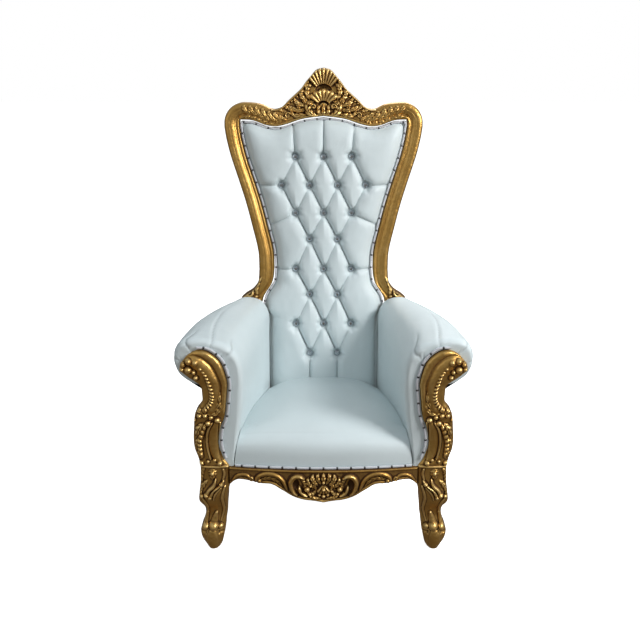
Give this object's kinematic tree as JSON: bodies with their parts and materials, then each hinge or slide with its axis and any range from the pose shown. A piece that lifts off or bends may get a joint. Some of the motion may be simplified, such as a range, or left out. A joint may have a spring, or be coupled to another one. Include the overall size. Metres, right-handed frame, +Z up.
{
  "type": "throne armchair",
  "caption": "High-backed throne armchair with a carved gilded frame, a tall waisted back tufted with crystal buttons, a domed leather seat and rolled leather arms.",
  "frame": {"origin": "on the floor, under the middle of the whole chair's width and depth", "axes": "+Z up, +X to the right seen from the front, -Y the way the sitter faces"},
  "size_m": [0.9702, 0.7894, 1.6],
  "materials": {
    "gilded_wood": "carved wood, antique gold leaf with dark patina in the hollows",
    "leather": "white, soft gloss, fine grain",
    "welt_leather": "white, soft gloss",
    "crystal": "faceted crystal on a dark foil"
  },
  "bodies": {
    "root": {"crest_rail": "gilded_wood", "back_post_right": "gilded_wood", "back_post_left": "gilded_wood", "front_post_right": "gilded_wood", "front_post_left": "gilded_wood", "front_apron": "gilded_wood", "side_rail_right": "gilded_wood", "side_rail_left": "gilded_wood", "back_rail": "gilded_wood", "arm_right": "leather", "arm_left": "leather", "seat_pad": "leather", "back_pad": "leather", "outside_back": "leather", "seat_welt": "welt_leather", "back_welt": "welt_leather", "arm_welt_right": "welt_leather", "arm_welt_left": "welt_leather", "button_1": "crystal", "button_2": "crystal", "button_3": "crystal", "button_4": "crystal", "button_5": "crystal", "button_6": "crystal", "button_7": "crystal", "button_8": "crystal", "button_9": "crystal", "button_10": "crystal", "button_11": "crystal", "button_12": "crystal", "button_13": "crystal", "button_14": "crystal", "button_15": "crystal", "button_16": "crystal", "button_17": "crystal", "button_18": "crystal", "button_19": "crystal", "button_20": "crystal", "button_21": "crystal", "button_22": "crystal"}
  },
  "joints": []
}
